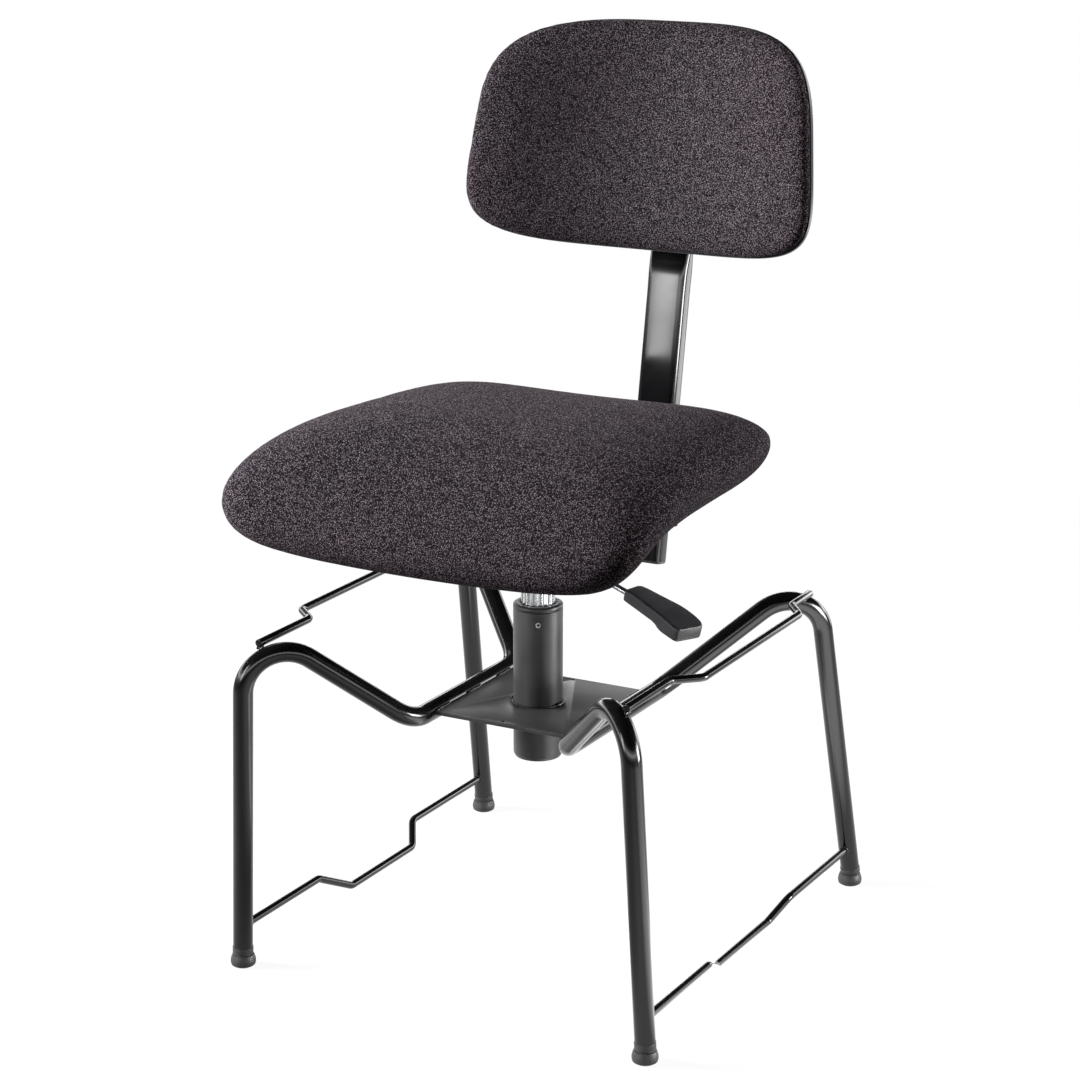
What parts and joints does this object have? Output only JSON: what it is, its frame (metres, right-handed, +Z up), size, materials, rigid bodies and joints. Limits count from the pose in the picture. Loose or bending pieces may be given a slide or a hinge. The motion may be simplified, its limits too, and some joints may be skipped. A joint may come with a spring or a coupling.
{
  "type": "choir chair",
  "caption": "Upholstered music chair with a height-adjustable fluted column, sliding backrest post, release paddle and a stacking frame of bent tube legs joined by wires.",
  "frame": {"origin": "middle of the bounding box's base, on the floor under the chair", "axes": "+Z up, the sitter faces -Y, +X to the sitter's left"},
  "size_m": [0.4824, 0.5813, 0.9115],
  "materials": {
    "black_tube": "gloss black powder coat",
    "black_steel": "satin black powder coat",
    "zinc_steel": "bright zinc plated",
    "bright_aluminium": "polished, extruded flutes",
    "black_plastic": "fine grained",
    "grey_plastic": "matt, dark grey",
    "dark_board": "black stained moulded plywood",
    "charcoal_fabric": "woven wool, charcoal with a fine fleck"
  },
  "bodies": {
    "base": {"side_frame_left": "black_tube", "side_frame_right": "black_tube", "upper_wire_left": "black_tube", "upper_wire_right": "black_tube", "lower_wire_left": "black_tube", "lower_wire_right": "black_tube", "foot_front_left": "grey_plastic", "foot_front_right": "grey_plastic", "foot_rear_left": "grey_plastic", "foot_rear_right": "grey_plastic", "cross_plate": "black_steel", "column_tube": "black_steel", "column_floor": "zinc_steel", "guide_bush": "black_plastic", "piston_rod": "zinc_steel", "rod_washer": "zinc_steel", "rod_clip": "zinc_steel", "bush_pin_1": "zinc_steel", "bush_pin_2": "zinc_steel", "bush_pin_3": "zinc_steel", "bush_pin_4": "zinc_steel"},
    "seat": {"mast": "bright_aluminium", "gas_cylinder": "black_steel", "mechanism_housing": "black_steel", "lever_bush": "grey_plastic", "seat_plate": "black_steel", "rear_arm": "black_steel", "seat_shell": "dark_board", "seat_cushion": "charcoal_fabric", "seat_screw_1": "zinc_steel", "seat_screw_2": "zinc_steel", "seat_screw_3": "zinc_steel", "seat_screw_4": "zinc_steel", "post_sleeve": "grey_plastic"},
    "lever": {"lever_rod": "zinc_steel", "lever_paddle": "black_plastic"},
    "valve": {"valve_button": "grey_plastic"},
    "back": {"back_post": "black_tube", "post_plug": "black_plastic", "backrest_shell": "black_plastic", "backrest_cushion": "charcoal_fabric", "backrest_screw_low": "zinc_steel", "backrest_screw_high": "zinc_steel"},
    "clamp": {"clamp_screw": "zinc_steel", "clamp_knob": "black_plastic"}
  },
  "joints": [
    {"name": "seat_height", "type": "slide", "parent": "base", "child": "seat", "axis": [0, 0, 1], "range_m": [0, 0.11]},
    {"name": "lever_pull", "type": "hinge", "parent": "seat", "child": "lever", "pos_m": [0.04651, -0.0536, 0.41225], "axis": [-0.2419, -0.9703, 0], "range_deg": [0, 5], "stiffness_Nm_per_rad": 4, "springref_deg": -2.86},
    {"name": "valve_press", "type": "slide", "parent": "seat", "child": "valve", "axis": [0, 0, -1], "range_m": [0, 0.0045]},
    {"name": "back_height", "type": "slide", "parent": "seat", "child": "back", "axis": [0, 0.1736, 0.9848], "range_m": [-0.06, 0.03]},
    {"name": "clamp_turn", "type": "hinge", "parent": "seat", "child": "clamp", "pos_m": [0, 0.20848, 0.41749], "axis": [0, 0.9848, -0.1736], "range_deg": [0, 540]}
  ],
  "couplings": [
    {"joint": "valve_press", "follows": "lever_pull", "m_per_rad": 0.0479}
  ]
}
